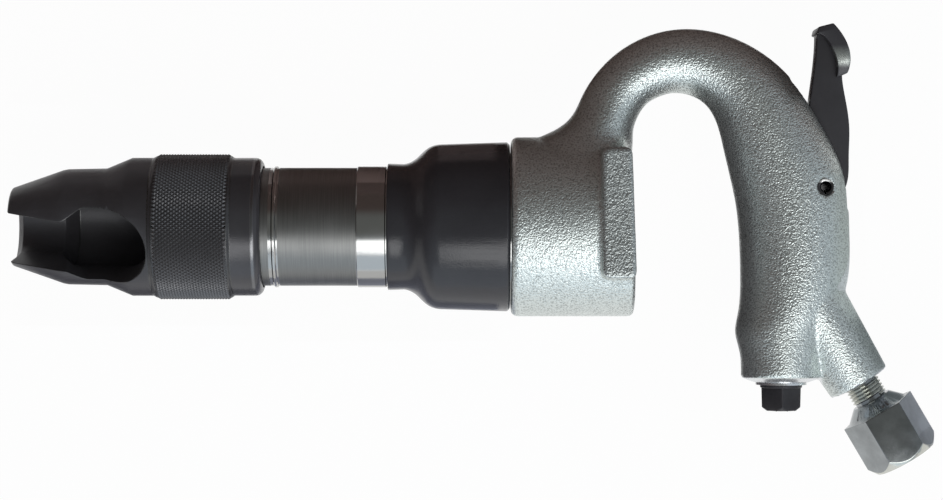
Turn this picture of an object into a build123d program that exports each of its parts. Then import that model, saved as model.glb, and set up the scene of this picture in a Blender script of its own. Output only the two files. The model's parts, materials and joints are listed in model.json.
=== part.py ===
# Pneumatic chipping hammer lying on its side, in millimetres.
# X runs along the barrel from the nose to the handle, Z is up from the table,
# and the origin is the mouth of the chisel bushing on the barrel axis.

import os
from math import cos, radians, sin, tan

from build123d import *

os.makedirs("parts", exist_ok=True)

# Clearances between pieces
seat_gap = 0.05  # radial gap at screwed and pressed seats
run_gap = 0.05  # radial gap of running and sliding fits
free_gap = 0.4  # gap between pieces that move past each other

# Chisel bushing and barrel
shank_r = 8.7  # round chisel shank
bushing_wall = 4.3
bushing_length = 44.0
piston_r = 14.2
piston_length = 52.0
cylinder_length = 103.0  # piston bore behind the bushing
barrel_wall = 7.85
nose_thread_drop = 1.1  # depth of the front thread below the barrel body
nose_thread_length = 36.0
barrel_body = 29.55  # between the stop ring and the polished band
band_length = 10.85
band_rise = 0.6
flange_length = 7.5
flange_rise = 6.1
rear_thread_rise = 4.9
rear_thread_length = 15.5
port_r = 3.0  # exhaust ports
duct_r = 2.0  # return ducts in the barrel wall

# Retainer
tip_length = 55.2  # nose ahead of the bushing mouth
tip_r = 14.7
cone_length = 19.2
nose_r = 21.6
nose_length = 16.5
shoulder_length = 9.5
retainer_wall = 4.85  # over the front thread
knurl_rise = 1.05
knurl_start = -1.9
knurl_length = 29.8
collar_length = 3.0  # behind the front thread
rear_round = 3.0
throat_r = 10.0  # narrow front of the keyhole
mouth_length = 2.4  # countersink at the tip
pocket_r = 14.75  # pocket for the chisel collar
throat_length = 18.4
window_half = 14.2
window_rear = -2.7
window_round = 13.8
window_neck_round = 5.0  # where the keyhole widens
window_length = 24.0  # wide part of the keyhole
window_run = 7.0  # where the keyhole narrows
window_angle = 23.0  # turned from straight up toward the hose side
buffer_length = 4.2
stop_ring_gap = 4.1  # behind the retainer
stop_ring_width = 1.6
stop_ring_wall = 1.7

# Exhaust deflector
deflector_wall = 2.7
deflector_lip = 6.0
deflector_swell = 14.0
deflector_skirt = 3.45  # wall over the barrel flange
seal_section = 2.0
slot_end = 0.5  # ahead of the barrel flange
slot_width = 6.0

# Valve box
guide_length = 6.0
box_length = 14.0
box_r = 24.0
gasket_length = 1.0
valve_r = 10.0
valve_flange_r = 14.0
valve_travel = 3.0
valve_hole_r = 5.0
valve_wall = 3.0  # ends of the valve box
valve_gap = 0.3  # at each end of the shuttle's travel
dowel_r = 2.0

# Handle
cup_wall = 6.5
cup_floor = 10.5
back_set = 2.3  # back of the cup at the axis, ahead of the handle's datum
back_lean = 2.0
cup_round = 1.8
pad_rise = 1.45  # flat side pads above the cup
pad_length = 11.8
pad_round = 2.6
pad_low = -19.2
pad_high = 28.8
air_r = 2.1  # air way through the gooseneck and the middle of the cup's floor
arch_y = 62.2  # middle of the gooseneck above the barrel axis
grip_x = 54.4  # throttle axis behind the back of the cup
boss_foot = -58.3
boss_half = 15.0
boss_side = 16.6
foot_angle = 20.0  # slope of the foot's machined rim
inlet_x = 29.7  # centre of the inlet face behind the throttle axis
inlet_y = -58.0
inlet_angle = 59.5  # below the barrel direction
inlet_boss_r = 11.8
inlet_boss_shift = 0.6  # its middle lies inside the thread's axis
inlet_boss_length = 36.8
inlet_root_half = 13.9
inlet_root_shift = 1.5
inlet_root_side = 15.6

# Throttle lever
pivot_x = 14.9  # behind the throttle axis
pivot_y = 14.7
lever_top = 75.7  # above the barrel axis
web_width = 8.0
paddle_width = 18.0
paddle_draw = 2.8  # how far its sides draw in
hub_r = 7.0
toe_r = 3.0
pin_r = 3.0
pin_bore_r = 1.7
pin_length = 28.6

# Throttle valve, down the grip
bore_r = 7.0
guide_top = 6.0
guide_foot = -1.0
guide_r = 5.0
push_r = 2.5
seat_top = -6.0
seat_foot = -11.0
seat_hole_r = 4.4
disc_r = 5.8
disc_length = 4.0
disc_pilot_r = 2.6
spring_wire_r = 0.6
spring_r = 4.2
spring_turns = 7
plug_top = -45.0
washer_r = 9.6
washer_length = 0.8
square_size = 10.9
square_length = 9.8

# Inlet bushing
male_r = 6.6
male_depth = 10.0
male_shown = 7.9
male_drop = 0.7  # root of the thread that shows
inlet_cone = 4.6
hex_size = 25.0
hex_length = 25.7
hex_chamfer = 3.6
female_r = 7.475
female_depth = 14.0
inlet_bore_r = 4.5
strainer_length = 1.4

# Sizes that follow from the ones above
bushing_r = shank_r + bushing_wall
cylinder_r = piston_r + run_gap
barrel_r = cylinder_r + barrel_wall
nose_thread_r = barrel_r - nose_thread_drop
rim_r = nose_thread_r + retainer_wall
retainer_rear = nose_thread_length + collar_length
stop_ring_x = retainer_rear + stop_ring_gap
band_start = stop_ring_x + stop_ring_width + barrel_body
band_r = barrel_r + band_rise
flange_r = barrel_r + flange_rise
rear_thread_r = barrel_r + rear_thread_rise
barrel_rear = bushing_length + cylinder_length
cup_front = barrel_rear - rear_thread_length
flange_front = cup_front - flange_length
deflector_rear_r = flange_r + run_gap + deflector_skirt
knurl_r = rim_r + knurl_rise
deflector_front = band_start + band_length + free_gap
deflector_rear = cup_front - free_gap
lip_bore_r = band_r + 0.1
lip_r = lip_bore_r + 0.9
guide_front = barrel_rear
box_front = guide_front + guide_length
box_rear = box_front + box_length
floor_x = box_rear + gasket_length
cup_back = floor_x + cup_floor
cup_r = rear_thread_r + seat_gap + cup_wall
pad_height = cup_r + pad_rise
throttle_x = cup_back + grip_x
lever_x = throttle_x + pivot_x
duct_ring = (cylinder_r + barrel_r) / 2
window_front = window_rear - window_length
throat_half = throat_r - 0.2
window_up = Vector(0, -sin(radians(window_angle)), cos(radians(window_angle)))

inlet_out = Vector(cos(radians(inlet_angle)), -sin(radians(inlet_angle)), 0)
inlet_face = Vector(throttle_x + inlet_x, inlet_y, 0)
inlet_side = Vector(-inlet_out.Y, inlet_out.X, 0)
inlet_rim = inlet_face - inlet_side * inlet_boss_shift
inlet_root = inlet_face - inlet_out * inlet_boss_length - inlet_side * inlet_root_shift
inlet_line = Plane(origin=inlet_face, x_dir=inlet_out, z_dir=(0, 0, 1))
inlet_axis = Axis(inlet_face, inlet_out)
throttle_line = Plane(origin=(throttle_x, 0, 0), x_dir=(0, 1, 0), z_dir=(0, 0, 1))
throttle_axis = Axis((throttle_x, 0, 0), (0, 1, 0))


# Chisel retainer: one turned piece with a keyhole window
with BuildPart() as retainer:
    with BuildSketch(Plane.XY):
        with BuildLine():
            Polyline(
                (-tip_length, tip_r - 0.9),
                (-tip_length + 0.6, tip_r),
                (-tip_length + cone_length, nose_r - 0.4),
                (-tip_length + cone_length + 2, nose_r),
                (-tip_length + cone_length + nose_length, nose_r + 0.3),
                (-tip_length + cone_length + nose_length + shoulder_length, rim_r),
                (knurl_start, rim_r),
                (knurl_start + knurl_rise, knurl_r),
                (knurl_start + knurl_length - knurl_rise * 0.7, knurl_r),
                (knurl_start + knurl_length, rim_r),
                (retainer_rear - rear_round, rim_r),
            )
            RadiusArc(
                (retainer_rear - rear_round, rim_r),
                (retainer_rear, rim_r - rear_round),
                rear_round,
            )
            Polyline(
                (retainer_rear, rim_r - rear_round),
                (retainer_rear, barrel_r + free_gap),
                (nose_thread_length, barrel_r + free_gap),
                (nose_thread_length, nose_thread_r + seat_gap),
                (0, nose_thread_r + seat_gap),
                (0, pocket_r),
                (-tip_length + throat_length + pocket_r - throat_r, pocket_r),
                (-tip_length + throat_length, throat_r),
                (-tip_length + mouth_length, throat_r),
                (-tip_length, tip_r - 0.9),
            )
        make_face()
    revolve(axis=Axis.X)
    with BuildSketch(Plane(origin=(0, 0, 0), x_dir=(1, 0, 0), z_dir=window_up)) as keyhole:
        with BuildLine():
            Polyline(
                (-tip_length - 1, -throat_half),
                (window_front - window_run, -throat_half),
                (window_front, -window_half),
                (window_rear, -window_half),
                (window_rear, window_half),
                (window_front, window_half),
                (window_front - window_run, throat_half),
                (-tip_length - 1, throat_half),
                close=True,
            )
        make_face()
        corners = keyhole.vertices().group_by(Axis.X)
        fillet(corners[-1], radius=window_round)
        corners = keyhole.vertices().filter_by_position(
            Axis.X, window_front - window_run - 0.1, window_front + 0.1
        )
        fillet(corners, radius=window_neck_round)
    extrude(amount=knurl_r * 2, mode=Mode.SUBTRACT)
retainer.part.label = "retainer"
export_step(retainer.part, "parts/retainer.step")

# Rubber ring between the retainer pocket and the bushing mouth
with BuildPart() as buffer_ring:
    with BuildSketch(Plane.XY):
        with BuildLine():
            Polyline(
                (-buffer_length - seat_gap, shank_r + 0.9),
                (-seat_gap, shank_r + 0.9),
                (-seat_gap, pocket_r - seat_gap),
                (-buffer_length - seat_gap + 0.8, pocket_r - seat_gap),
                (-buffer_length - seat_gap, pocket_r - seat_gap - 0.8),
                close=True,
            )
        make_face()
    revolve(axis=Axis.X)
buffer_ring.part.label = "buffer_ring"
export_step(buffer_ring.part, "parts/buffer_ring.step")

# Split wire ring that stops the retainer
with BuildPart() as stop_ring:
    with BuildSketch(Plane.XY):
        with BuildLine():
            Polyline(
                (stop_ring_x, barrel_r - 1.1),
                (stop_ring_x + stop_ring_width, barrel_r - 1.1),
                (stop_ring_x + stop_ring_width, barrel_r - 1.5 + stop_ring_wall),
                (stop_ring_x + stop_ring_width - 0.4, barrel_r - 1.1 + stop_ring_wall),
                (stop_ring_x + 0.4, barrel_r - 1.1 + stop_ring_wall),
                (stop_ring_x, barrel_r - 1.5 + stop_ring_wall),
                close=True,
            )
        make_face()
    revolve(axis=Axis.X)
    with BuildSketch(Plane.XY.offset(-barrel_r * 2)):
        with Locations((stop_ring_x + stop_ring_width / 2, 0)):
            Rectangle(stop_ring_width * 3, 5)
    extrude(amount=barrel_r * 2, mode=Mode.SUBTRACT)
stop_ring.part.label = "retainer_stop_ring"
export_step(stop_ring.part, "parts/retainer_stop_ring.step")

# Hardened bushing pressed into the front of the barrel
with BuildPart() as chisel_bushing:
    with BuildSketch(Plane.XY):
        with BuildLine():
            Polyline(
                (0, shank_r),
                (bushing_length - 0.5, shank_r),
                (bushing_length, shank_r + 0.5),
                (bushing_length, bushing_r),
                (0, bushing_r),
                close=True,
            )
        make_face()
    revolve(axis=Axis.X)
chisel_bushing.part.label = "chisel_bushing"
export_step(chisel_bushing.part, "parts/chisel_bushing.step")

# Barrel with front thread, ring grooves, polished band, flange and rear thread
with BuildPart() as barrel:
    with BuildSketch(Plane.XY):
        with BuildLine():
            Polyline(
                (0, bushing_r + seat_gap),
                (0, nose_thread_r - 1),
                (1, nose_thread_r),
                (nose_thread_length + free_gap, nose_thread_r),
                (nose_thread_length + 2, barrel_r),
                (stop_ring_x - seat_gap, barrel_r),
                (stop_ring_x - seat_gap, barrel_r - 1.1 - seat_gap),
                (stop_ring_x + stop_ring_width + seat_gap, barrel_r - 1.1 - seat_gap),
                (stop_ring_x + stop_ring_width + seat_gap, barrel_r),
                (band_start, barrel_r),
                (band_start, band_r - 0.3),
                (band_start + 0.3, band_r),
                (band_start + band_length - 0.3, band_r),
                (band_start + band_length, band_r - 0.3),
                (band_start + band_length, barrel_r),
                (deflector_front + 1.5, barrel_r),
                (deflector_front + 1.5, lip_bore_r - seat_gap - seal_section),
                (deflector_front + 1.7 + seal_section, lip_bore_r - seat_gap - seal_section),
                (deflector_front + 1.7 + seal_section, barrel_r),
                (flange_front - 3, barrel_r),
                (flange_front, flange_r - 0.5),
                (flange_front + 0.5, flange_r),
                (cup_front - 0.1, flange_r),
                (cup_front - 0.1, rear_thread_r),
                (barrel_rear - 1, rear_thread_r),
                (barrel_rear, rear_thread_r - 1),
                (barrel_rear, cylinder_r),
                (bushing_length + seat_gap, cylinder_r),
                (bushing_length + seat_gap, bushing_r + seat_gap),
                close=True,
            )
        make_face()
    revolve(axis=Axis.X)
    with BuildSketch(Plane.YZ.offset(barrel_rear)):
        with PolarLocations(duct_ring, 2, start_angle=90):
            Circle(duct_r)
    extrude(amount=-cylinder_length + 6, mode=Mode.SUBTRACT)
    with BuildSketch(Plane.XY.offset(-duct_ring)):
        with Locations((bushing_length + 8, 0)):
            Circle(duct_r * 0.9)
    extrude(amount=duct_ring * 2, mode=Mode.SUBTRACT)
    with BuildSketch(Plane.XZ.offset(-barrel_r - 1)):
        with Locations((deflector_front + 22, 0)):
            Circle(port_r)
    extrude(amount=barrel_r * 2 + 2, mode=Mode.SUBTRACT)
    with BuildSketch(Plane.YZ.offset(barrel_rear)):
        with Locations((box_r - 2 * dowel_r, 0)):
            Circle(dowel_r + seat_gap)
    extrude(amount=-6, mode=Mode.SUBTRACT)
barrel.part.label = "barrel"
export_step(barrel.part, "parts/barrel.step")

# Free piston, resting at the back of its stroke
piston_front = barrel_rear - 0.5 - piston_length
with BuildPart() as piston:
    with BuildSketch(Plane.XY):
        with BuildLine():
            Polyline(
                (piston_front, 0),
                (piston_front, shank_r - 1),
                (piston_front + 1, shank_r - 0.3),
                (piston_front + 8, shank_r - 0.3),
                (piston_front + 11, piston_r),
                (piston_front + 24, piston_r),
                (piston_front + 24.5, piston_r - 0.6),
                (piston_front + 27.5, piston_r - 0.6),
                (piston_front + 28, piston_r),
                (piston_front + piston_length - 1, piston_r),
                (piston_front + piston_length, piston_r - 1),
                (piston_front + piston_length, 5),
                (piston_front + piston_length - 4, 4),
                (piston_front + piston_length - 4, 0),
                close=True,
            )
        make_face()
    revolve(axis=Axis.X)
piston.part.label = "piston"
export_step(piston.part, "parts/piston.step")

# Rubber seal under the front lip of the deflector
with BuildPart() as deflector_seal:
    with BuildSketch(Plane.XY):
        with Locations((deflector_front + 1.6 + seal_section / 2, lip_bore_r - seat_gap - seal_section / 2)):
            Circle(seal_section / 2)
    revolve(axis=Axis.X)
deflector_seal.part.label = "deflector_seal"
export_step(deflector_seal.part, "parts/deflector_seal.step")

# Exhaust deflector: a bell that turns on the barrel flange
swell_start = deflector_front + deflector_lip
swell_end = swell_start + deflector_swell
slot_length = flange_front - slot_end - swell_end
with BuildPart() as exhaust_deflector:
    with BuildSketch(Plane.XY):
        with BuildLine():
            Polyline(
                (deflector_front, lip_bore_r),
                (deflector_front, lip_r - 0.3),
                (deflector_front + 0.3, lip_r),
                (swell_start, lip_r - 0.2),
            )
            Spline(
                (swell_start, lip_r - 0.2),
                (swell_start + deflector_swell * 0.57, (lip_r + deflector_rear_r) / 2 + 1),
                (swell_end, deflector_rear_r - 0.8),
                tangents=((1, 0.12), (1, 0.03)),
            )
            Polyline(
                (swell_end, deflector_rear_r - 0.8),
                (deflector_rear - 1, deflector_rear_r),
                (deflector_rear, deflector_rear_r - 1),
                (deflector_rear, flange_r + run_gap),
                (flange_front - free_gap, flange_r + run_gap),
                (flange_front - free_gap - 1, deflector_rear_r - deflector_wall - 0.6),
                (swell_end + 1, deflector_rear_r - deflector_wall - 1.2),
                (swell_start + deflector_swell * 0.5, lip_r + 0.8),
                (swell_start, lip_bore_r),
                (deflector_front, lip_bore_r),
            )
        make_face()
    revolve(axis=Axis.X)
    with BuildSketch(Plane.XY.offset(-deflector_rear_r * 2)):
        with Locations((swell_end + slot_length / 2, -slot_width), (swell_end + slot_length / 2, slot_width)):
            SlotOverall(slot_length, slot_width)
    extrude(amount=deflector_rear_r * 2, mode=Mode.SUBTRACT)
exhaust_deflector.part.label = "exhaust_deflector"
export_step(exhaust_deflector.part, "parts/exhaust_deflector.step")

# Front half of the valve box, against the barrel
with BuildPart() as valve_guide:
    with BuildSketch(Plane.XY):
        with BuildLine():
            Polyline(
                (guide_front, valve_hole_r),
                (guide_front, box_r - 1),
                (guide_front + 1, box_r),
                (box_front, box_r),
                (box_front, valve_r + run_gap),
                (guide_front + valve_wall, valve_r + run_gap),
                (guide_front + valve_wall, valve_hole_r),
                close=True,
            )
        make_face()
    revolve(axis=Axis.X)
    with BuildSketch(Plane.YZ.offset(guide_front)):
        with Locations((box_r - 2 * dowel_r, 0)):
            Circle(dowel_r + seat_gap)
        with PolarLocations(duct_ring, 2, start_angle=90):
            Circle(duct_r)
    extrude(amount=guide_length, mode=Mode.SUBTRACT)
valve_guide.part.label = "valve_guide"
export_step(valve_guide.part, "parts/valve_guide.step")

# Rear half of the valve box, open to the air way
with BuildPart() as valve_box:
    with BuildSketch(Plane.XY):
        with BuildLine():
            Polyline(
                (box_front, valve_flange_r + run_gap),
                (box_front, box_r),
                (box_rear - 1, box_r),
                (box_rear, box_r - 1),
                (box_rear, valve_hole_r + 1),
                (box_rear - valve_wall, valve_hole_r + 1),
                (box_rear - valve_wall, valve_flange_r + run_gap),
                close=True,
            )
        make_face()
    revolve(axis=Axis.X)
    with BuildSketch(Plane.YZ.offset(box_front)):
        with Locations((box_r - 2 * dowel_r, 0)):
            Circle(dowel_r + seat_gap)
    extrude(amount=6, mode=Mode.SUBTRACT)
valve_box.part.label = "valve_box"
export_step(valve_box.part, "parts/valve_box.step")

# Flanged shuttle valve between the two halves
valve_front = guide_front + valve_wall + valve_gap
valve_rear = box_rear - valve_wall - valve_gap - valve_travel
with BuildPart() as shuttle_valve:
    with BuildSketch(Plane.XY):
        with BuildLine():
            Polyline(
                (valve_front, valve_hole_r),
                (valve_front, valve_r),
                (box_front + valve_gap, valve_r),
                (box_front + valve_gap, valve_flange_r),
                (valve_rear, valve_flange_r),
                (valve_rear, valve_hole_r),
                close=True,
            )
        make_face()
    revolve(axis=Axis.X)
shuttle_valve.part.label = "shuttle_valve"
export_step(shuttle_valve.part, "parts/shuttle_valve.step")

# Dowel that lines up the valve box with the barrel ducts
with BuildPart() as valve_dowel:
    with BuildSketch(Plane.YZ.offset(barrel_rear - 5.8)):
        with Locations((box_r - 2 * dowel_r, 0)):
            Circle(dowel_r)
    extrude(amount=guide_length + 11.6)
valve_dowel.part.label = "valve_dowel"
export_step(valve_dowel.part, "parts/valve_dowel.step")

# Gasket behind the valve box
with BuildPart() as box_gasket:
    with BuildSketch(Plane.YZ.offset(box_rear)):
        Circle(box_r - 1)
        Circle(valve_flange_r, mode=Mode.SUBTRACT)
    extrude(amount=gasket_length)
box_gasket.part.label = "box_gasket"
export_step(box_gasket.part, "parts/box_gasket.step")

# Handle casting: cup, gooseneck, grip and the two bosses.
# Each station of the gooseneck and grip: X and Y of its inner edge, of its outer edge, and its half width.
neck_stations = (
    (cup_back - 1.7, 28.2, cup_back - 39.0, 30.6, 18.4),
    (cup_back - 1.1, 33.2, cup_back - 31.6, 35.7, 14.7),
    (cup_back - 0.6, arch_y - 24.0, cup_back - 23.9, arch_y - 20.4, 13.0),
    (cup_back + 1.8, arch_y - 18.9, cup_back - 20.3, arch_y - 13.3, 11.9),
    (cup_back + 7.0, arch_y - 14.2, cup_back - 8.7, arch_y + 1.7, 11.7),
    (cup_back + 13.6, arch_y - 12.1, cup_back + 13.4, arch_y + 11.6, 12.0),
)
grip_stations = (
    (throttle_x - 33.4, arch_y - 13.2, throttle_x - 18.5, arch_y + 8.8, 12.6),
    (throttle_x - 27.4, arch_y - 17.4, throttle_x - 1.9, arch_y - 1.1, 13.6),
    (throttle_x - 23.9, arch_y - 24.0, throttle_x + 8.9, arch_y - 13.5, 14.8),
    (throttle_x - 22.0, 31.0, throttle_x + 16.5, 36.0, 15.8),
    (throttle_x - 19.7, 21.0, throttle_x + 22.5, 23.8, 16.5),
    (throttle_x - 17.3, 10.1, throttle_x + 24.9, 11.6, 17.0),
    (throttle_x - 15.9, -2.0, throttle_x + 25.5, -2.0, 17.3),
    (throttle_x - 15.4, -14.0, throttle_x + 25.5, -14.0, 17.5),
    (throttle_x - 15.4, -25.0, throttle_x + 23.6, -25.0, 17.5),
    (throttle_x - 16.2, -32.5, throttle_x + 20.6, -32.5, 17.4),
    (throttle_x - 17.2, -39.5, throttle_x + 17.8, -39.5, 17.1),
    (throttle_x - 15.6, -46.5, throttle_x + 15.9, -46.5, 16.8),
    (throttle_x - boss_half, -53.0, throttle_x + boss_half, -53.0, boss_side),
    (throttle_x - boss_half, -60.0, throttle_x + boss_half, -60.0, boss_side),
    (throttle_x - boss_half, -67.0, throttle_x + boss_half, -67.0, boss_side),
    (throttle_x - boss_half, -74.0, throttle_x + boss_half, -74.0, boss_side),
)
root_stations = (
    neck_stations[0],
    (cup_back - 2.4, 23.0, cup_back - 43.0, 23.5, 24.1),
)
slot_half = web_width / 2 + 0.3


def back_x(height):
    return cup_back - back_set - tan(radians(back_lean)) * height


with BuildPart() as handle:
    # cup with a leaning back
    with BuildSketch(Plane.XY):
        with BuildLine():
            Polyline(
                (cup_front, 0),
                (cup_front, cup_r - 1.5),
                (cup_front + 1.5, cup_r),
                (cup_back, cup_r),
                (cup_back, 0),
                close=True,
            )
        make_face()
    revolve(axis=Axis.X)
    with BuildSketch(Plane.XY.offset(-cup_r - 1)):
        with BuildLine():
            Polyline(
                (back_x(-cup_r - 1), -cup_r - 1),
                (cup_back + 1, -cup_r - 1),
                (cup_back + 1, cup_r + 1),
                (back_x(cup_r + 1), cup_r + 1),
                close=True,
            )
        make_face()
    extrude(amount=(cup_r + 1) * 2, mode=Mode.SUBTRACT)
    fillet(handle.faces().sort_by(Axis.X)[-1].edges(), radius=cup_round)
    # flat side pads
    with BuildSketch(Plane.XY.offset(-pad_height)):
        with BuildLine():
            FilletPolyline(
                (back_x(0) - pad_length, pad_low),
                (back_x(pad_low), pad_low),
                (back_x(pad_high), pad_high),
                (back_x(0) - pad_length, pad_high),
                radius=pad_round,
                close=True,
            )
        make_face()
    extrude(amount=pad_height * 2)
    # gooseneck and grip, down past the throttle boss, and the root that spreads into the cup
    for stations in (neck_stations + grip_stations, root_stations):
        for inner_x, inner_y, outer_x, outer_y, width in stations:
            inner = Vector(inner_x, inner_y, 0)
            outer = Vector(outer_x, outer_y, 0)
            outward = (outer - inner).normalized()
            along = Vector(outward.Y, -outward.X, 0)
            with BuildSketch(Plane(origin=(inner + outer) / 2, x_dir=outward, z_dir=along)):
                Ellipse((outer - inner).length / 2, width)
        loft()
    # machined foot of the throttle boss
    with BuildSketch(throttle_line):
        with BuildLine():
            Polyline(
                (boss_foot - 20, 0),
                (boss_foot, 0),
                (boss_foot, washer_r + 0.4),
                (boss_foot + (30 - washer_r - 0.4) * tan(radians(foot_angle)), 30),
                (boss_foot - 20, 30),
                close=True,
            )
        make_face()
    revolve(axis=throttle_axis, mode=Mode.SUBTRACT)
    # inlet boss, growing out of the grip
    with BuildSketch(Plane(origin=inlet_root, x_dir=(0, 0, 1), z_dir=inlet_out)):
        Ellipse(inlet_root_side, inlet_root_half)
    with BuildSketch(Plane(origin=inlet_rim, x_dir=(0, 0, 1), z_dir=inlet_out)):
        Circle(inlet_boss_r)
    loft()
    # thread and valve box bore
    with BuildSketch(Plane.XY):
        with BuildLine():
            Polyline(
                (cup_front - 1, 0),
                (cup_front - 1, rear_thread_r + seat_gap),
                (barrel_rear + seat_gap, rear_thread_r + seat_gap),
                (barrel_rear + seat_gap, box_r + seat_gap),
                (floor_x, box_r + seat_gap),
                (floor_x, 0),
                close=True,
            )
        make_face()
    revolve(axis=Axis.X, mode=Mode.SUBTRACT)
    # throttle bore, plug thread and push pin guide bore
    with BuildSketch(throttle_line):
        with BuildLine():
            Polyline(
                (boss_foot - 1, 0),
                (boss_foot - 1, bore_r),
                (guide_foot, bore_r),
                (guide_foot, guide_r),
                (guide_top + 2, guide_r),
                (guide_top + 2, 0),
                close=True,
            )
        make_face()
    revolve(axis=throttle_axis, mode=Mode.SUBTRACT)
    # inlet thread and way to the throttle bore
    with BuildSketch(inlet_line):
        with BuildLine():
            Polyline(
                (1, 0),
                (1, male_r + seat_gap),
                (-male_depth - 2, male_r + seat_gap),
                (-male_depth - 4, inlet_bore_r),
                (-42, inlet_bore_r),
                (-42, 0),
                close=True,
            )
        make_face()
    revolve(axis=inlet_axis, mode=Mode.SUBTRACT)
    # air way from the throttle through the gooseneck to the valve box
    with BuildLine() as air_way:
        FilletPolyline(
            (throttle_x, (guide_foot + seat_top) / 2),
            (throttle_x - 8.4, (guide_foot + seat_top) / 2),
            (throttle_x - 12.4, 34.0),
            (throttle_x - 24.4, arch_y - 6.2),
            (cup_back + 12.0, arch_y - 2.2),
            ((floor_x + back_x(arch_y - 16.2)) / 2, arch_y - 16.2),
            ((floor_x + back_x(0)) / 2, 0),
            (floor_x - 1, 0),
            radius=air_r * 1.5,
        )
    with BuildSketch(Plane(origin=air_way.line @ 0, z_dir=air_way.line % 0)):
        Circle(air_r)
    sweep(path=air_way.line, mode=Mode.SUBTRACT)
    # slot for the lever
    with BuildSketch(Plane.XY.offset(-slot_half)):
        with BuildLine():
            Polyline(
                (throttle_x - toe_r - 1.4, guide_top + 0.6),
                (throttle_x - toe_r - 1.4, pivot_y + 4.2),
                (lever_x - 11.5, pivot_y + 11.5),
                (lever_x - 11.5, arch_y + 12.8),
                (lever_x + 20, arch_y + 12.8),
                (lever_x + 20, guide_top + 0.6),
                close=True,
            )
        make_face()
    extrude(amount=slot_half * 2, mode=Mode.SUBTRACT)
    with BuildSketch(Plane.XY.offset(-30)):
        with Locations((lever_x, pivot_y)):
            Circle(pin_r + seat_gap)
    extrude(amount=60, mode=Mode.SUBTRACT)
handle.part.label = "handle"
export_step(handle.part, "parts/handle.step")

# Throttle lever: flat web with a broad thumb paddle at the top and a toe over the push pin
with BuildPart() as throttle_lever:
    with BuildSketch(Plane.XY.offset(-web_width / 2)):
        with BuildLine():
            Spline(
                (lever_x - 2.1, lever_top - 2.6),
                (lever_x - 2.5, lever_top - 12.8),
                (lever_x - 4.4, lever_top - 27.6),
                (lever_x - 6.0, pivot_y + 16.3),
            )
            Polyline(
                (lever_x - 6.0, pivot_y + 16.3),
                (lever_x - 7.0, pivot_y + 8.0),
                (throttle_x, pivot_y + 1.5),
            )
            ThreePointArc(
                (throttle_x, pivot_y + 1.5),
                (throttle_x - toe_r, pivot_y + 1.5 - toe_r),
                (throttle_x, pivot_y + 1.5 - 2 * toe_r),
            )
            Line((throttle_x, pivot_y + 1.5 - 2 * toe_r), (lever_x - 4, pivot_y - hub_r + 1.3))
            ThreePointArc(
                (lever_x - 4, pivot_y - hub_r + 1.3),
                (lever_x, pivot_y - hub_r),
                (lever_x + 5, pivot_y - hub_r + 2.1),
            )
            Spline(
                (lever_x + 5, pivot_y - hub_r + 2.1),
                (lever_x + 9.3, pivot_y + 1.5),
                (lever_x + 10.0, pivot_y + 11.3),
                (lever_x + 10.2, pivot_y + 22.5),
                (lever_x + 8.9, lever_top - 28.7),
                (lever_x + 7.6, lever_top - 20.9),
                (lever_x + 7.3, lever_top - 15.9),
                (lever_x + 6.5, lever_top - 9.9),
                (lever_x + 3.8, lever_top - 4.8),
            )
            Line((lever_x + 3.8, lever_top - 4.8), (lever_x - 2.1, lever_top - 2.6))
        make_face()
    extrude(amount=web_width)
    with BuildSketch(Plane.XY.offset(-paddle_width / 2)):
        with BuildLine():
            Line((lever_x - 1.9, lever_top - 1.4), (lever_x + 3.6, lever_top))
            Spline(
                (lever_x + 3.6, lever_top),
                (lever_x + 6.1, lever_top - 2.9),
                (lever_x + 8.6, lever_top - 7.1),
                (lever_x + 10.0, lever_top - 12.2),
                (lever_x + 9.1, lever_top - 18.5),
            )
            Line((lever_x + 9.1, lever_top - 18.5), (lever_x + 5.1, lever_top - 20.0))
            Spline(
                (lever_x + 5.1, lever_top - 20.0),
                (lever_x + 5.3, lever_top - 16.2),
                (lever_x + 4.6, lever_top - 12.6),
                (lever_x + 3.0, lever_top - 8.8),
                (lever_x + 0.6, lever_top - 5.4),
                (lever_x - 2.5, lever_top - 3.7),
            )
            Line((lever_x - 2.5, lever_top - 3.7), (lever_x - 1.9, lever_top - 1.4))
        make_face()
    extrude(amount=paddle_width)
    # the paddle's sides draw in toward its lower end
    with BuildSketch(Plane.YZ.offset(throttle_x - 30)):
        with BuildLine():
            Line((lever_top + 5, paddle_width / 2), (lever_top - 9, paddle_width / 2))
            TangentArc(
                (lever_top - 9, paddle_width / 2),
                (lever_top - 20, paddle_width / 2 - paddle_draw),
                tangent=(-1, 0),
            )
            Polyline(
                (lever_top - 20, paddle_width / 2 - paddle_draw),
                (pivot_y - 20, paddle_width / 2 - paddle_draw),
                (pivot_y - 20, 0),
                (lever_top + 5, 0),
                (lever_top + 5, paddle_width / 2),
            )
        make_face()
        mirror(about=Plane.XZ)
    extrude(amount=80, mode=Mode.INTERSECT)
    with BuildSketch(Plane.XY.offset(-web_width)):
        with Locations((lever_x, pivot_y)):
            Circle(pin_r + run_gap)
    extrude(amount=web_width * 2, mode=Mode.SUBTRACT)
throttle_lever.part.label = "throttle_lever"
export_step(throttle_lever.part, "parts/throttle_lever.step")

# Slotted spring pin that carries the lever
with BuildPart() as lever_pin:
    with BuildSketch(Plane.XY.offset(-pin_length / 2)):
        with Locations((lever_x, pivot_y)):
            Circle(pin_r)
            Circle(pin_bore_r, mode=Mode.SUBTRACT)
        with Locations((lever_x, pivot_y - pin_r)):
            Rectangle(0.9, pin_r * 2, mode=Mode.SUBTRACT)
    extrude(amount=pin_length)
lever_pin.part.label = "lever_pin"
export_step(lever_pin.part, "parts/lever_pin.step")

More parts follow.
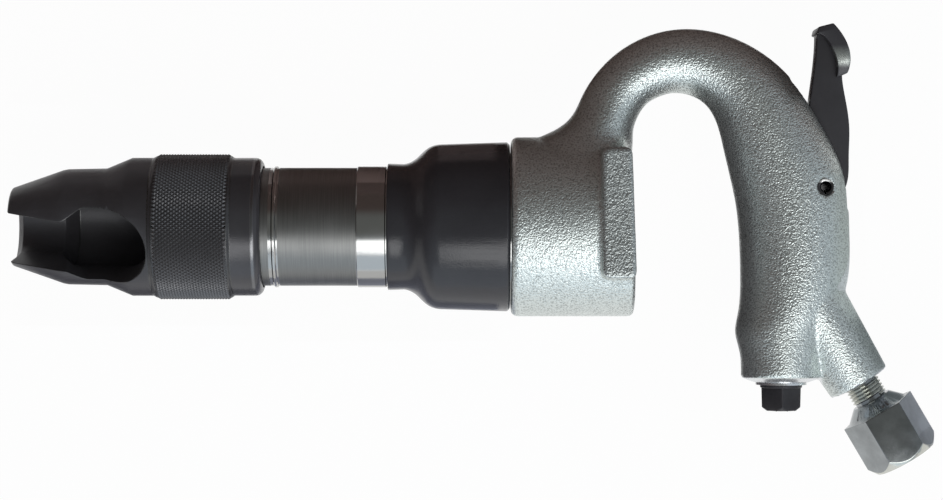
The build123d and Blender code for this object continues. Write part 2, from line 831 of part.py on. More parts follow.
# Guide pressed into the grip above the throttle seat
with BuildPart() as push_pin_guide:
    with BuildSketch(throttle_line):
        with BuildLine():
            Polyline(
                (guide_foot, guide_r - seat_gap),
                (guide_top, guide_r - seat_gap),
                (guide_top, push_r + run_gap),
                (guide_foot + 2, push_r + run_gap),
                (guide_foot + 2, push_r + 2),
                (guide_foot, push_r + 2),
                close=True,
            )
        make_face()
    revolve(axis=throttle_axis)
push_pin_guide.part.label = "push_pin_guide"
export_step(push_pin_guide.part, "parts/push_pin_guide.step")

# Rubber seal around the push pin
with BuildPart() as push_pin_seal:
    with BuildSketch(throttle_line):
        with Locations((guide_foot + 1, push_r + 1)):
            Circle(0.94)
    revolve(axis=throttle_axis)
push_pin_seal.part.label = "push_pin_seal"
export_step(push_pin_seal.part, "parts/push_pin_seal.step")

# Push pin between the toe of the lever and the throttle valve
push_top = pivot_y + 1.5 - 2 * toe_r - 0.2
with BuildPart() as push_pin:
    with BuildSketch(throttle_line):
        with BuildLine():
            Polyline((push_top - 0.8, push_r), (seat_foot, push_r), (seat_foot, 0), (push_top, 0))
            RadiusArc((push_top, 0), (push_top - 0.8, push_r), 4.3)
        make_face()
    revolve(axis=throttle_axis)
push_pin.part.label = "push_pin"
export_step(push_pin.part, "parts/push_pin.step")

# Seat of the throttle valve
with BuildPart() as throttle_seat:
    with BuildSketch(throttle_line):
        with BuildLine():
            Polyline(
                (seat_foot, seat_hole_r),
                (seat_top, seat_hole_r),
                (seat_top, bore_r - seat_gap),
                (seat_foot, bore_r - seat_gap),
                close=True,
            )
        make_face()
    revolve(axis=throttle_axis)
throttle_seat.part.label = "throttle_seat"
export_step(throttle_seat.part, "parts/throttle_seat.step")

# Throttle valve disc with a pilot for its spring
disc_foot = seat_foot - disc_length
with BuildPart() as throttle_valve:
    with BuildSketch(throttle_line):
        with BuildLine():
            Polyline(
                (seat_foot, 0),
                (seat_foot, disc_r - 0.4),
                (seat_foot - 0.4, disc_r),
                (disc_foot, disc_r),
                (disc_foot, disc_pilot_r),
                (disc_foot - 3, disc_pilot_r - 0.3),
                (disc_foot - 3, 0),
                close=True,
            )
        make_face()
    revolve(axis=throttle_axis)
throttle_valve.part.label = "throttle_valve"
export_step(throttle_valve.part, "parts/throttle_valve.step")

# Spring between the throttle valve and the plug
spring_top = disc_foot - spring_wire_r
spring_foot = plug_top + spring_wire_r
with BuildPart() as throttle_spring:
    with BuildLine() as coil:
        Helix(
            pitch=(spring_top - spring_foot) / spring_turns,
            height=spring_top - spring_foot,
            radius=spring_r,
            center=(throttle_x, spring_foot, 0),
            direction=(0, 1, 0),
        )
    with BuildSketch(Plane(origin=coil.line @ 0, z_dir=coil.line % 0)):
        Circle(spring_wire_r)
    sweep(path=coil.line, is_frenet=True)
throttle_spring.part.label = "throttle_spring"
export_step(throttle_spring.part, "parts/throttle_spring.step")

# Plug with a square head below the grip
head_top = boss_foot - washer_length
with BuildPart() as throttle_plug:
    with BuildSketch(throttle_line):
        with BuildLine():
            Polyline(
                (plug_top + 3, 0),
                (plug_top + 3, disc_pilot_r - 0.3),
                (plug_top, disc_pilot_r),
                (plug_top, bore_r - seat_gap - 0.6),
                (plug_top - 0.6, bore_r - seat_gap),
                (head_top, bore_r - seat_gap),
                (head_top, 0),
                close=True,
            )
        make_face()
    revolve(axis=throttle_axis)
    with BuildSketch(Plane.XZ.offset(-head_top)):
        with Locations((throttle_x, 0)):
            Circle(square_size * 0.72)
    extrude(amount=1.2)
    with BuildSketch(Plane.XZ.offset(-head_top + 1.2)):
        with Locations((throttle_x, 0)):
            RectangleRounded(square_size, square_size, 0.8, rotation=48)
    extrude(amount=square_length - 1.2, taper=1.5)
    with BuildSketch(throttle_line):
        with BuildLine():
            Polyline(
                (head_top - square_length, square_size * 0.5),
                (head_top - square_length, square_size),
                (head_top - square_length + square_size * 0.36, square_size),
                close=True,
            )
        make_face()
    revolve(axis=throttle_axis, mode=Mode.SUBTRACT)
throttle_plug.part.label = "throttle_plug"
export_step(throttle_plug.part, "parts/throttle_plug.step")

# Sealing washer under the plug
with BuildPart() as plug_washer:
    with BuildSketch(Plane.XZ.offset(-boss_foot)):
        with Locations((throttle_x, 0)):
            Circle(washer_r)
            Circle(bore_r + 0.1, mode=Mode.SUBTRACT)
    extrude(amount=washer_length)
plug_washer.part.label = "plug_washer"
export_step(plug_washer.part, "parts/plug_washer.step")

# Hexagon inlet bushing with male and female threads
hex_start = male_shown
hex_end = male_shown + hex_length
hex_corner = hex_size / 2 / cos(radians(30))
with BuildPart() as inlet_bushing:
    with BuildSketch(Plane(origin=inlet_face + inlet_out * hex_start, x_dir=(0, 0, 1), z_dir=inlet_out)):
        RegularPolygon(hex_corner, 6, rotation=30)
    extrude(amount=hex_length)
    with BuildSketch(inlet_line):
        with BuildLine():
            Polyline(
                (hex_start, 0),
                (hex_start, male_r + 0.8),
                (hex_start + inlet_cone, hex_size / 2 - 0.4),
                (hex_start + inlet_cone, hex_corner),
                (hex_end - hex_chamfer, hex_corner),
                (hex_end, hex_size / 2 - 0.6),
                (hex_end, 0),
                close=True,
            )
        make_face()
    revolve(axis=inlet_axis, mode=Mode.INTERSECT)
    with BuildSketch(inlet_line):
        with BuildLine():
            Polyline(
                (-male_depth, 0),
                (-male_depth, male_r - 1),
                (-male_depth + 1, male_r),
                (-0.2, male_r),
                (-0.2, male_r - male_drop),
                (hex_start + 0.5, male_r - male_drop),
                (hex_start + 0.5, 0),
                close=True,
            )
        make_face()
    revolve(axis=inlet_axis)
    with BuildSketch(inlet_line):
        with BuildLine():
            Polyline(
                (-male_depth - 1, 0),
                (-male_depth - 1, inlet_bore_r),
                (hex_end - female_depth - strainer_length, inlet_bore_r),
                (hex_end - female_depth - strainer_length, female_r - 1),
                (hex_end - female_depth, female_r - 1),
                (hex_end - female_depth, female_r),
                (hex_end - 0.5, female_r),
                (hex_end, female_r + 0.5),
                (hex_end + 1, female_r + 0.5),
                (hex_end + 1, 0),
                close=True,
            )
        make_face()
    revolve(axis=inlet_axis, mode=Mode.SUBTRACT)
inlet_bushing.part.label = "inlet_bushing"
export_step(inlet_bushing.part, "parts/inlet_bushing.step")

# Perforated strainer at the bottom of the inlet
strainer_face = inlet_face + inlet_out * (hex_end - female_depth - strainer_length)
with BuildPart() as inlet_strainer:
    with BuildSketch(Plane(origin=strainer_face, x_dir=(0, 0, 1), z_dir=inlet_out)):
        Circle(female_r - 1 - seat_gap)
        with HexLocations(0.95, 5, 5):
            Circle(0.55, mode=Mode.SUBTRACT)
    extrude(amount=strainer_length)
inlet_strainer.part.label = "inlet_strainer"
export_step(inlet_strainer.part, "parts/inlet_strainer.step")
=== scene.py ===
import json
import math
import bmesh
import bpy
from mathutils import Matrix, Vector


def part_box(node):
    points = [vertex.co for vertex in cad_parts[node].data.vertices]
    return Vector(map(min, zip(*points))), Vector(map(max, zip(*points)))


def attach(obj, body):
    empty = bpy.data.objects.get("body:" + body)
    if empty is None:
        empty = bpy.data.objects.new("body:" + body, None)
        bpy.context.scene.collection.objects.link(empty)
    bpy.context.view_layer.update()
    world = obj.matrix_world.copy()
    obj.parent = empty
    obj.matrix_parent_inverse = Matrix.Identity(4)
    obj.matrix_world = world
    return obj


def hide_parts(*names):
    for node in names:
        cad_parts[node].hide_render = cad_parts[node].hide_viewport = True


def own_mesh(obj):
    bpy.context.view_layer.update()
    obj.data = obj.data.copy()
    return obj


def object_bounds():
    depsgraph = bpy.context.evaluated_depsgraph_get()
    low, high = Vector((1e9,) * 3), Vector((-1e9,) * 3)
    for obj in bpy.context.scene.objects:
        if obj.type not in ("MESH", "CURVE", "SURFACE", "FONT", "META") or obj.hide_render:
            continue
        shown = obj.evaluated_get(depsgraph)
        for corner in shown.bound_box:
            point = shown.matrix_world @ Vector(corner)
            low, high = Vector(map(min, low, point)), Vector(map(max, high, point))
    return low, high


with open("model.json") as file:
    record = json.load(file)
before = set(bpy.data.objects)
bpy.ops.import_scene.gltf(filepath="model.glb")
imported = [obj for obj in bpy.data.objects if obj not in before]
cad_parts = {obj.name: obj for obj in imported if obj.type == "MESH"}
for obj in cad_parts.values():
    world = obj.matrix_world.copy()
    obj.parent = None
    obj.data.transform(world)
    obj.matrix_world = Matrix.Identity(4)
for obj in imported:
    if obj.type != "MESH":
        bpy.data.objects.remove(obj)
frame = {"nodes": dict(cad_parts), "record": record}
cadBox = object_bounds()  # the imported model's box
nodes = frame["nodes"]
scene = bpy.context.scene
mm = 0.001

# the camera looks straight down on the tool, as it lies on its side
shot = {
    "pixelsWide": 943,
    "pixelsHigh": 500,
    "pixelSize": 0.375 * mm,  # at the barrel axis
    "mouthPixel": (160.0, 226.8),  # the bushing's mouth in the picture
    "distance": 1010 * mm,
    "sensor": 36.0,
}


def placeCamera():
    data = bpy.data.cameras.new("shotCamera")
    data.sensor_width = shot["sensor"]
    data.lens = shot["sensor"] * shot["distance"] / (shot["pixelsWide"] * shot["pixelSize"])
    camera = bpy.data.objects.new("shotCamera", data)
    across = (shot["pixelsWide"] / 2 - shot["mouthPixel"][0]) * shot["pixelSize"]
    up = (shot["mouthPixel"][1] - shot["pixelsHigh"] / 2) * shot["pixelSize"]
    camera.location = (across, up, shot["distance"])
    scene.collection.objects.link(camera)
    scene.camera = camera
    print("camera placed")


# helpers for nodes and materials
def addNode(tree, kind, **values):
    node = tree.nodes.new(kind)
    for key, value in values.items():
        if key in node.inputs:
            node.inputs[key].default_value = value
        else:
            setattr(node, key, value)
    return node


def feed(tree, socket, value):
    if isinstance(value, (int, float, tuple)):
        socket.default_value = value
    else:
        tree.links.new(value, socket)


def mathNode(tree, operation, first, second=0.0):
    node = addNode(tree, "ShaderNodeMath", operation=operation)
    feed(tree, node.inputs[0], first)
    feed(tree, node.inputs[1], second)
    return node.outputs[0]


def vectorNode(tree, operation, first, second=(0.0, 0.0, 0.0), output=0):
    node = addNode(tree, "ShaderNodeVectorMath", operation=operation)
    feed(tree, node.inputs[0], first)
    feed(tree, node.inputs[1], second)
    return node.outputs[output]


def rangeNode(tree, value, low, high, toLow, toHigh, smooth=True):
    node = addNode(tree, "ShaderNodeMapRange")
    node.interpolation_type = "SMOOTHSTEP" if smooth else "LINEAR"
    tree.links.new(value, node.inputs["Value"])
    for slot, number in zip(("From Min", "From Max", "To Min", "To Max"), (low, high, toLow, toHigh)):
        node.inputs[slot].default_value = number
    return node.outputs["Result"]


def mixColour(tree, amount, first, second):
    node = addNode(tree, "ShaderNodeMix", data_type="RGBA")
    for slot, value in ((0, amount), (6, first), (7, second)):
        feed(tree, node.inputs[slot], value)
    return node.outputs[2]


def noiseNode(tree, vector, scale, detail=2.0, roughness=0.5):
    node = addNode(tree, "ShaderNodeTexNoise", Detail=detail, Roughness=roughness)
    tree.links.new(vector, node.inputs["Vector"])
    feed(tree, node.inputs["Scale"], scale)
    return node.outputs["Fac"]


def splitVector(tree, vector):
    parts = addNode(tree, "ShaderNodeSeparateXYZ")
    tree.links.new(vector, parts.inputs[0])
    return parts.outputs


def splitPlace(tree):
    return splitVector(tree, addNode(tree, "ShaderNodeTexCoord").outputs["Object"])


def startMaterial(name, **values):
    material = bpy.data.materials.new(name)
    material.use_nodes = True
    shader = material.node_tree.nodes["Principled BSDF"]
    for key, value in values.items():
        shader.inputs[key.replace("_", " ")].default_value = value
    return material, material.node_tree, shader


# soft key from the hose side, a weaker fill, and a room that darkens past the gooseneck
studio = {
    "aim": Vector((0.115, -0.005, 0.0)),
    "floorSize": 6.0,
    "floorColour": (0.74, 0.74, 0.74, 1),
    "floorGlow": 0.97,  # how much of the floor shows as plain white
    "roomTop": (0.192, 0.199, 0.193, 1),
    "topFrom": 0.82,  # height on the unit sphere where the ceiling starts
    "topFull": 0.99,
    "roomBright": (0.54, 0.60, 0.66, 1),
    "roomDark": (0.10, 0.076, 0.07, 1),
    "darkWay": (-0.5, 0.85, 0.0),  # past the gooseneck and a little toward the nose
    "darkSpread": 0.5,
}
lamps = {
    "key": {
        "turn": 36.0,  # degrees from straight up toward the hose side
        "shift": 0.3,  # toward the handle
        "distance": 1.3,
        "size": (1.0, 0.72),
        "power": 7.0,
        "colour": (1, 1, 1),
    },
    "fill": {
        "turn": 76.0,
        "shift": 0.1,
        "distance": 1.2,
        "size": (1.6, 0.9),
        "power": 2.4,
        "colour": (0.80, 0.90, 1.0),
    },
}


def hangLamps():
    for name, look in lamps.items():
        data = bpy.data.lights.new(name, "AREA")
        data.shape = "RECTANGLE"
        data.size, data.size_y = look["size"]
        data.energy = look["power"]
        data.color = look["colour"]
        lamp = bpy.data.objects.new(name, data)
        lean = math.radians(look["turn"])
        distance = look["distance"]
        reach = Vector((look["shift"], -math.sin(lean) * distance, math.cos(lean) * distance))
        lamp.location = studio["aim"] + reach
        lamp.rotation_euler = reach.to_track_quat("Z", "Y").to_euler()
        scene.collection.objects.link(lamp)
    print("lamps hung:", len(lamps))


def lightRoom():
    world = bpy.data.worlds.new("room")
    scene.world = world
    world.use_nodes = True
    tree = world.node_tree
    spot = addNode(tree, "ShaderNodeTexCoord").outputs["Generated"]
    turned = vectorNode(tree, "DOT_PRODUCT", spot, studio["darkWay"], "Value")
    towardDark = rangeNode(tree, turned, -studio["darkSpread"], studio["darkSpread"], 0, 1)
    sides = mixColour(tree, towardDark, studio["roomBright"], studio["roomDark"])
    high = rangeNode(tree, splitVector(tree, spot)["Z"], studio["topFrom"], studio["topFull"], 0, 1)
    whole = mixColour(tree, high, sides, studio["roomTop"])
    tree.links.new(whole, tree.nodes["Background"].inputs["Color"])
    scene.view_settings.view_transform = "Standard"
    print("room lit")


def stageSheet(name, shape, material):
    mesh = bpy.data.meshes.new(name)
    shape.to_mesh(mesh)
    shape.free()
    mesh.materials.append(material)
    sheet = bpy.data.objects.new(name, mesh)
    scene.collection.objects.link(sheet)
    return sheet


def layFloor():
    paper = bpy.data.materials.new("paleFloor")
    paper.use_nodes = True
    tree = paper.node_tree
    tree.nodes.clear()
    paint = addNode(tree, "ShaderNodeBsdfDiffuse", Color=studio["floorColour"])
    glow = addNode(tree, "ShaderNodeEmission", Color=(1, 1, 1, 1), Strength=1.0)
    path = addNode(tree, "ShaderNodeLightPath")
    seen = mathNode(tree, "MAXIMUM", path.outputs["Is Camera Ray"], path.outputs["Is Glossy Ray"])
    seen = mathNode(tree, "MAXIMUM", seen, path.outputs["Is Transmission Ray"])
    share = mathNode(tree, "MULTIPLY", seen, studio["floorGlow"])
    blend = addNode(tree, "ShaderNodeMixShader")
    out = addNode(tree, "ShaderNodeOutputMaterial")
    tree.links.new(share, blend.inputs[0])
    tree.links.new(paint.outputs[0], blend.inputs[1])
    tree.links.new(glow.outputs[0], blend.inputs[2])
    tree.links.new(blend.outputs[0], out.inputs["Surface"])
    shape = bmesh.new()
    bmesh.ops.create_grid(shape, x_segments=1, y_segments=1, size=studio["floorSize"] / 2)
    floor = stageSheet("floor", shape, paper)
    floor.location = (studio["aim"].x, studio["aim"].y, cadBox[0].z)
    print("floor laid")


# low flags stand along the tool, on paths in mm, and keep its sides from going white;
# the camera and the lamps' shadows pass them by
flagRoughness = 0.9
flags = {
    "farFlag": {
        "height": 100 * mm,
        "colour": (0.16, 0.105, 0.092, 1),
        "path": ((-285, 105), (515, 105)),
    },
    "noseFlag": {
        "height": 50 * mm,
        "colour": (0.95, 0.84, 0.81, 1),
        "path": ((-62, 48), (40, 48)),
    },
    "barrelFlag": {
        "height": 50 * mm,
        "colour": (0.46, 0.32, 0.29, 1),
        "path": ((40, 48), (42, 36), (82, 36), (86, 44), (102, 44)),
    },
    "deflectorFlag": {
        "height": 50 * mm,
        "colour": (0.92, 0.69, 0.65, 1),
        "path": ((102, 44), (126, 44), (126, 48)),
    },
    "lowNoseFlag": {
        "height": 35 * mm,
        "colour": (0.38, 0.38, 0.44, 1),
        "glow": 0.3,
        "path": ((-62, -38), (40, -38)),
    },
    "lowFlag": {
        "height": 35 * mm,
        "colour": (0.48, 0.50, 0.60, 1),
        "glow": 0.5,
        "path": ((40, -38), (42, -44), (127, -44)),
    },
    "archFlag": {
        "height": 50 * mm,
        "colour": (0.20, 0.135, 0.12, 1),
        "path": (
            (126, 48), (138, 48), (152, 60), (166, 78), (184, 87),
            (204, 89), (226, 84), (237, 77), (241, 66), (241, 49),
        ),
    },
    "gripFlag": {
        "height": 50 * mm,
        "colour": (0.21, 0.185, 0.19, 1),
        "path": ((198, 43), (202, 38), (204, 20), (207, -8), (207, -30), (208, -73)),
    },
    "hoseFlag": {
        "height": 50 * mm,
        "colour": (0.86, 0.90, 0.90, 1),
        "glow": 0.3,
        "path": ((268, 26), (270, -20), (274, -28)),
    },
    "bossFlag": {
        "height": 50 * mm,
        "colour": (0.62, 0.65, 0.66, 1),
        "path": ((274, -28), (284, -46), (289, -52.5)),
    },
    "hexagonFlag": {
        "height": 50 * mm,
        "colour": (0.72, 0.73, 0.78, 1),
        "glow": 0.28,
        "path": ((289, -52.5), (302, -70), (303, -86)),
    },
}


def flagCloth(name, look):
    cloth, tree, shader = startMaterial(name + "Cloth", Base_Color=look["colour"], Roughness=flagRoughness)
    # a pale flag stands for the white background, so it glows in reflections as the floor does
    if "glow" in look:
        path = addNode(tree, "ShaderNodeLightPath")
        shader.inputs["Emission Color"].default_value = look["colour"]
        share = mathNode(tree, "MULTIPLY", path.outputs["Is Glossy Ray"], look["glow"])
        tree.links.new(share, shader.inputs["Emission Strength"])
    return cloth


def standFlags():
    for name, look in flags.items():
        shape = bmesh.new()
        foot = [shape.verts.new((x * mm, y * mm, cadBox[0].z)) for x, y in look["path"]]
        edges = [shape.edges.new(pair) for pair in zip(foot, foot[1:])]
        raised = bmesh.ops.extrude_edge_only(shape, edges=edges)
        tops = [part for part in raised["geom"] if isinstance(part, bmesh.types.BMVert)]
        bmesh.ops.translate(shape, verts=tops, vec=(0, 0, look["height"]))
        flag = stageSheet(name, shape, flagCloth(name, look))
        flag.visible_camera = False
        flag.visible_shadow = False
    print("flags set:", len(flags))


# shared surface effects
def startGroup(name, entryName, entryValue, outputs):
    group = bpy.data.node_groups.new(name, "ShaderNodeTree")
    socket = group.interface.new_socket(name=entryName, in_out="INPUT", socket_type="NodeSocketFloat")
    socket.default_value = entryValue
    for label in outputs:
        group.interface.new_socket(name=label, in_out="OUTPUT", socket_type="NodeSocketFloat")
    entry = group.nodes.new("NodeGroupInput").outputs[entryName]
    leave = group.nodes.new("NodeGroupOutput").inputs
    spot = group.nodes.new("ShaderNodeTexCoord").outputs["Object"]
    return group, entry, leave, spot


def castGrainGroup():
    look = {
        "fineDetail": 1.5,
        "coarseScale": 0.4,
        "coarseDetail": 1.0,
        "coarseShare": 0.45,
        "patchScale": 22.0,
        "patchDetail": 3.0,
        "tone": (0.30, 0.56),  # low pits go dark, and most of the skin stays light
        "patch": (0.35, 0.65),
    }
    group, scale, leave, spot = startGroup("castGrain", "Scale", 800.0, ("Height", "Tone", "Patch"))
    fine = noiseNode(group, spot, scale, look["fineDetail"])
    coarseScale = mathNode(group, "MULTIPLY", scale, look["coarseScale"])
    coarse = noiseNode(group, spot, coarseScale, look["coarseDetail"])
    patch = noiseNode(group, spot, look["patchScale"], look["patchDetail"])
    height = mathNode(group, "ADD", fine, mathNode(group, "MULTIPLY", coarse, look["coarseShare"]))
    group.links.new(height, leave["Height"])
    group.links.new(rangeNode(group, fine, *look["tone"], 0, 1), leave["Tone"])
    group.links.new(rangeNode(group, patch, *look["patch"], 0, 1), leave["Patch"])
    return group


def latheLinesGroup():
    look = {"around": 60.0, "detail": 2.0, "roughness": 0.6, "tone": (0.3, 0.7)}
    group, pitch, leave, spot = startGroup("latheLines", "Pitch", 9000.0, ("Height", "Tone"))
    stretch = addNode(group, "ShaderNodeCombineXYZ", Y=look["around"], Z=look["around"])
    group.links.new(pitch, stretch.inputs["X"])
    scaled = vectorNode(group, "MULTIPLY", spot, stretch.outputs[0])
    lines = noiseNode(group, scaled, 1.0, look["detail"], look["roughness"])
    group.links.new(lines, leave["Height"])
    group.links.new(rangeNode(group, lines, *look["tone"], 0, 1), leave["Tone"])
    return group


def handlingGroup():
    look = {
        "smudgeDetail": 4.0,
        "smudgeRoughness": 0.6,
        "smudge": (0.2, 0.8),
        "speckScale": 40.0,
        "speck": (0.3, 0.7),
    }
    group, scale, leave, spot = startGroup("handling", "Scale", 70.0, ("Smudge", "Speck"))
    smudge = noiseNode(group, spot, scale, look["smudgeDetail"], look["smudgeRoughness"])
    speck = noiseNode(group, spot, mathNode(group, "MULTIPLY", scale, look["speckScale"]))
    group.links.new(rangeNode(group, smudge, *look["smudge"], 0, 1, False), leave["Smudge"])
    group.links.new(rangeNode(group, speck, *look["speck"], 0, 1), leave["Speck"])
    return group


def placeGroup(tree, group, **values):
    node = tree.nodes.new("ShaderNodeGroup")
    node.node_tree = group
    for key, value in values.items():
        node.inputs[key].default_value = value
    return node.outputs


def coat(tree, shader, colour, roughness):
    tree.links.new(colour, shader.inputs["Base Color"])
    tree.links.new(roughness, shader.inputs["Roughness"])


def addBump(tree, shader, height, depth, strength=1.0):
    bump = addNode(tree, "ShaderNodeBump", Strength=strength, Distance=depth)
    tree.links.new(height, bump.inputs["Height"])
    tree.links.new(bump.outputs["Normal"], shader.inputs["Normal"])


def silverCastingMaterial(grain):
    look = {
        "dark": (0.36, 0.385, 0.37, 1),
        "light": (0.665, 0.71, 0.685, 1),
        "padShadeDark": (0.262, 0.28, 0.272, 1),
        "padShadeLight": (0.467, 0.495, 0.481, 1),
        "padFrom": 34.2 * mm,  # only the side pads stand out this far
        "padFull": 34.6 * mm,
        "metallic": 0.86,
        "rough": (0.28, 0.36),
        "grainScale": 1560.0,
        "grainDepth": 0.3 * mm,
    }
    material, tree, shader = startMaterial("silverCasting", Metallic=look["metallic"])
    cast = placeGroup(tree, grain, Scale=look["grainScale"])
    colour = mixColour(tree, cast["Tone"], look["dark"], look["light"])
    # the side pads get a darker copy of the casting's colour: painted shade on the flats that face the camera
    padShadeColour = mixColour(tree, cast["Tone"], look["padShadeDark"], look["padShadeLight"])
    out = mathNode(tree, "ABSOLUTE", splitPlace(tree)["Z"])
    onShadedPad = rangeNode(tree, out, look["padFrom"], look["padFull"], 0, 1)
    roughness = rangeNode(tree, cast["Patch"], 0, 1, *look["rough"])
    coat(tree, shader, mixColour(tree, onShadedPad, colour, padShadeColour), roughness)
    addBump(tree, shader, cast["Height"], look["grainDepth"])
    return material


def axisMask(tree, start, end, soft):
    along = splitPlace(tree)["X"]
    rise = rangeNode(tree, along, start - soft, start, 0, 1, False)
    fall = rangeNode(tree, along, end, end + soft, 1, 0, False)
    return mathNode(tree, "MULTIPLY", rise, fall)


def blackenedSteelMaterial(name, handling, dark, light, collar=False):
    look = {
        "handlingScale": 60.0,
        "metallic": 0.15,
        "specular": 0.4,
        "rough": (0.36, 0.46),
        "pitDepth": 0.03 * mm,
        "pitStrength": 0.4,
        "glossSpan": (28.0 * mm, 60.0 * mm, 0.3 * mm),  # from, to and how soft its ends are
        "glossDrop": 0.17,
        "wornGlint": (0.16, 0.16, 0.165, 1),
        "wornGlintSpan": (35.9 * mm, 36.6 * mm, 0.4 * mm),
        "wornGlintMetallic": 0.9,
    }
    shine = {"Metallic": look["metallic"], "Specular_IOR_Level": look["specular"]}
    material, tree, shader = startMaterial(name, **shine)
    used = placeGroup(tree, handling, Scale=look["handlingScale"])
    colour = mixColour(tree, used["Smudge"], dark, light)
    satin = rangeNode(tree, used["Smudge"], 0, 1, *look["rough"])
    # the collar behind the knurl is smoother, and has a narrow band of bright steel where its end starts to
    # round: wear, and a painted highlight along the rounding
    if collar:
        gloss = mathNode(tree, "MULTIPLY", axisMask(tree, *look["glossSpan"]), look["glossDrop"])
        satin = mathNode(tree, "SUBTRACT", satin, gloss)
        paintedGlint = axisMask(tree, *look["wornGlintSpan"])
        colour = mixColour(tree, paintedGlint, colour, look["wornGlint"])
        metal = rangeNode(tree, paintedGlint, 0, 1, look["metallic"], look["wornGlintMetallic"], False)
        tree.links.new(metal, shader.inputs["Metallic"])
    coat(tree, shader, colour, satin)
    addBump(tree, shader, used["Speck"], look["pitDepth"], look["pitStrength"])
    return material


def leverSteelMaterial(handling):
    # the lower part of the paddle, which stands out past the web, is bright steel: thumb wear, and a painted
    # highlight where the paddle catches the light
    look = {
        "handlingScale": 60.0,
        "dark": (0.036, 0.0345, 0.038, 1),
        "light": (0.054, 0.052, 0.057, 1),
        "wornGlint": (0.34, 0.36, 0.335, 1),
        "web": (4.6 * mm, 5.4 * mm),  # half its thickness, and where the paddle's bright patch is full
        "wornGlintTop": (63.5 * mm, 68.0 * mm),
        "wornGlintFoot": (58.8 * mm, 61.3 * mm),
        "wornGlintLeast": 0.55,
        "metallic": (0.15, 1.0),
        "rough": (0.4, 0.26),
    }
    material, tree, shader = startMaterial("leverSteel")
    used = placeGroup(tree, handling, Scale=look["handlingScale"])
    parts = splitPlace(tree)
    out = mathNode(tree, "ABSOLUTE", parts["Z"])
    wornGlint = rangeNode(tree, out, *look["web"], 0, 1)
    wornGlint = mathNode(tree, "MULTIPLY", wornGlint, rangeNode(tree, parts["Y"], *look["wornGlintTop"], 1, 0))
    wornGlint = mathNode(tree, "MULTIPLY", wornGlint, rangeNode(tree, parts["Y"], *look["wornGlintFoot"], 0, 1))
    patchy = rangeNode(tree, used["Speck"], 0, 1, look["wornGlintLeast"], 1)
    wornGlint = mathNode(tree, "MULTIPLY", wornGlint, patchy)
    black = mixColour(tree, used["Smudge"], look["dark"], look["light"])
    roughness = rangeNode(tree, wornGlint, 0, 1, *look["rough"], False)
    coat(tree, shader, mixColour(tree, wornGlint, black, look["wornGlint"]), roughness)
    tree.links.new(rangeNode(tree, wornGlint, 0, 1, *look["metallic"], False), shader.inputs["Metallic"])
    return material


def groundSteelMaterial(lathe, handling):
    # the polished band and the journal ahead of the stop ring are told by where they lie along the axis
    look = {
        "linePitch": 9000.0,
        "lineDepth": 0.012 * mm,
        "lineStrength": 0.5,
        "handlingScale": 55.0,
        "dark": (0.165, 0.165, 0.16, 1),
        "light": (0.225, 0.225, 0.215, 1),
        "rough": (0.36, 0.46),
        "band": (0.38, 0.38, 0.37, 1),
        "bandDrop": 0.25,
        "bandSpan": (74.2 * mm, 400.0 * mm, 0.1 * mm),  # from, to and how soft its ends are
        "journalSpan": (41.9 * mm, 45.3 * mm, 0.1 * mm),
    }
    material, tree, shader = startMaterial("groundSteel", Metallic=1.0)
    lines = placeGroup(tree, lathe, Pitch=look["linePitch"])
    used = placeGroup(tree, handling, Scale=look["handlingScale"])
    onBand = axisMask(tree, *look["bandSpan"])
    onBand = mathNode(tree, "MAXIMUM", onBand, axisMask(tree, *look["journalSpan"]))
    ground = mixColour(tree, lines["Tone"], look["dark"], look["light"])
    matte = rangeNode(tree, used["Smudge"], 0, 1, *look["rough"])
    drop = mathNode(tree, "MULTIPLY", onBand, look["bandDrop"])
    roughness = mathNode(tree, "SUBTRACT", matte, drop)
    coat(tree, shader, mixColour(tree, onBand, ground, look["band"]), roughness)
    addBump(tree, shader, lines["Height"], look["lineDepth"], look["lineStrength"])
    return material


def pinSteelMaterial(handling):
    # the bore of the lever pin is painted near black as shade, and its rim is painted bright on the paddle's
    # side as a highlight
    look = {
        "handlingScale": 90.0,
        "dark": (0.07, 0.068, 0.07, 1),
        "light": (0.12, 0.118, 0.12, 1),
        "paintedGlint": (0.92, 0.92, 0.90, 1),
        "paintedGlintSpan": (1.4 * mm, 1.9 * mm),
        "paintedBoreShade": (0.006, 0.006, 0.007, 1),
        "boreSpan": (2.05 * mm, 2.2 * mm),
        "rough": (0.3, 0.6),
    }
    low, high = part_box("lever_pin")
    material, tree, shader = startMaterial("pinSteel", Metallic=1.0)
    used = placeGroup(tree, handling, Scale=look["handlingScale"])
    spot = addNode(tree, "ShaderNodeTexCoord").outputs["Object"]
    reach = vectorNode(tree, "SUBTRACT", spot, tuple((low + high) / 2))
    flat = vectorNode(tree, "MULTIPLY", reach, (1, 1, 0))
    radius = vectorNode(tree, "LENGTH", flat, output="Value")
    inside = rangeNode(tree, radius, *look["boreSpan"], 1, 0, False)
    paintedGlint = rangeNode(tree, splitVector(tree, reach)["Y"], *look["paintedGlintSpan"], 0, 1)
    steel = mixColour(tree, used["Smudge"], look["dark"], look["light"])
    steel = mixColour(tree, paintedGlint, steel, look["paintedGlint"])
    roughness = rangeNode(tree, inside, 0, 1, *look["rough"], False)
    coat(tree, shader, mixColour(tree, inside, steel, look["paintedBoreShade"]), roughness)
    return material


